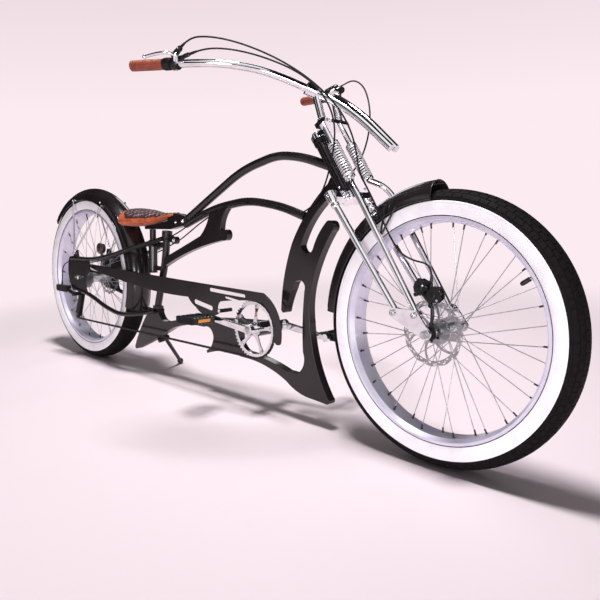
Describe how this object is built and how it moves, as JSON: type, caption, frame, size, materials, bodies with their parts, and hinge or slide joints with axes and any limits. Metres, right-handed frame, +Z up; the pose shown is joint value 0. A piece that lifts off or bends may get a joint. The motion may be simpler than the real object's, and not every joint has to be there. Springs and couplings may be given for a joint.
{
  "type": "chopper bicycle",
  "caption": "Stretched chopper bicycle with a springer fork, curved blade frame, whitewall tyres, deep fenders, flame-edged chain guard and side stand.",
  "frame": {"origin": "on the ground, under the middle of the parked bicycle's bounding box", "axes": "+X forward, +Y to the rider's left, +Z up from the ground; the bicycle leans 5 degrees towards +Y on its stand"},
  "size_m": [2.568, 0.8178, 1.1826],
  "materials": {
    "black_paint": "gloss",
    "black_parts": "satin",
    "chrome": "polished",
    "steel": "satin",
    "rim_metal": "polished",
    "tyre_rubber": "matte",
    "white_rubber": "satin",
    "brown_leather": "satin",
    "pedal_plastic": "matte"
  },
  "bodies": {
    "frame": {"head_tube": "black_paint", "headset_cups": "black_parts", "down_tube_blade": "black_paint", "lower_frame_blade": "black_paint", "seat_tube": "black_paint", "upper_tube": "black_paint", "second_tube": "black_paint", "strut_blade": "black_paint", "rear_stays_right": "black_paint", "rear_stays_left": "black_paint", "seat_carrier": "black_paint", "chain_guard": "black_paint", "chain": "steel", "derailleur": "black_parts", "rear_axle": "steel", "rear_fender": "black_paint", "rear_fender_stays": "chrome", "rear_caliper": "black_parts", "reflector": "pedal_plastic", "seat_post": "chrome", "seat_base": "black_paint", "saddle_shell": "brown_leather", "stand_bracket": "black_paint"},
    "fork": {"fork_crown": "chrome", "fork_legs": "chrome", "spring_legs": "chrome", "coil_springs": "chrome", "top_bridge": "chrome", "rockers": "chrome", "front_axle": "steel", "front_fender": "black_paint", "front_caliper": "black_parts", "risers": "chrome", "bar_right": "chrome", "bar_left": "chrome", "grips": "brown_leather", "control_clamps": "black_parts", "brake_levers": "chrome", "front_brake_hose": "pedal_plastic", "rear_brake_hose": "pedal_plastic", "shift_cable": "pedal_plastic"},
    "front_wheel": {"front_tyre": "tyre_rubber", "front_whitewalls": "white_rubber", "front_rim": "rim_metal", "front_spokes": "steel", "front_hub": "steel", "front_rotor": "steel"},
    "rear_wheel": {"rear_tyre": "tyre_rubber", "rear_whitewalls": "white_rubber", "rear_rim": "rim_metal", "rear_spokes": "steel", "rear_hub": "steel", "rear_rotor": "steel"},
    "crankset": {"chainring": "chrome", "crank_right": "chrome", "crank_left": "chrome"},
    "right_pedal": {"pedal_right": "pedal_plastic"},
    "left_pedal": {"pedal_left": "pedal_plastic"},
    "freewheel": {"cassette": "black_parts"},
    "stand": {"stand_leg": "black_paint"}
  },
  "joints": [
    {"name": "steering", "type": "hinge", "parent": "frame", "child": "fork", "pos_m": [0.556, -0.03242, 0.73961], "axis": [-0.5635, 0.072, 0.823], "range_deg": [-40, 40], "deforming": ["rear_brake_hose", "shift_cable"]},
    {"name": "front_wheel_spin", "type": "hinge", "parent": "fork", "child": "front_wheel", "pos_m": [0.912, -0.06467, 0.37102], "axis": [0, 0.9962, -0.0872], "continuous": true},
    {"name": "rear_wheel_spin", "type": "hinge", "parent": "frame", "child": "rear_wheel", "pos_m": [-0.912, -0.06467, 0.37102], "axis": [0, 0.9962, -0.0872], "continuous": true},
    {"name": "crank_spin", "type": "hinge", "parent": "frame", "child": "crankset", "pos_m": [0.228, -0.07208, 0.28634], "axis": [0, 0.9962, -0.0872], "continuous": true, "deforming": ["chain"]},
    {"name": "freewheel_spin", "type": "hinge", "parent": "frame", "child": "freewheel", "pos_m": [-0.912, -0.06467, 0.37102], "axis": [0, 0.9962, -0.0872], "continuous": true},
    {"name": "right_pedal_spin", "type": "hinge", "parent": "crankset", "child": "right_pedal", "pos_m": [0.06, -0.2302, 0.32628], "axis": [0, 0.9962, -0.0872], "continuous": true},
    {"name": "left_pedal_spin", "type": "hinge", "parent": "crankset", "child": "left_pedal", "pos_m": [0.396, 0.08604, 0.2464], "axis": [0, 0.9962, -0.0872], "continuous": true},
    {"name": "stand_fold", "type": "hinge", "parent": "frame", "child": "stand", "pos_m": [-0.42, -0.04997, 0.14889], "axis": [-0.2847, -0.948, -0.1424], "range_deg": [0, 134.4]}
  ],
  "couplings": [
    {"joint": "freewheel_spin", "follows": "crank_spin", "ratio": 3}
  ]
}
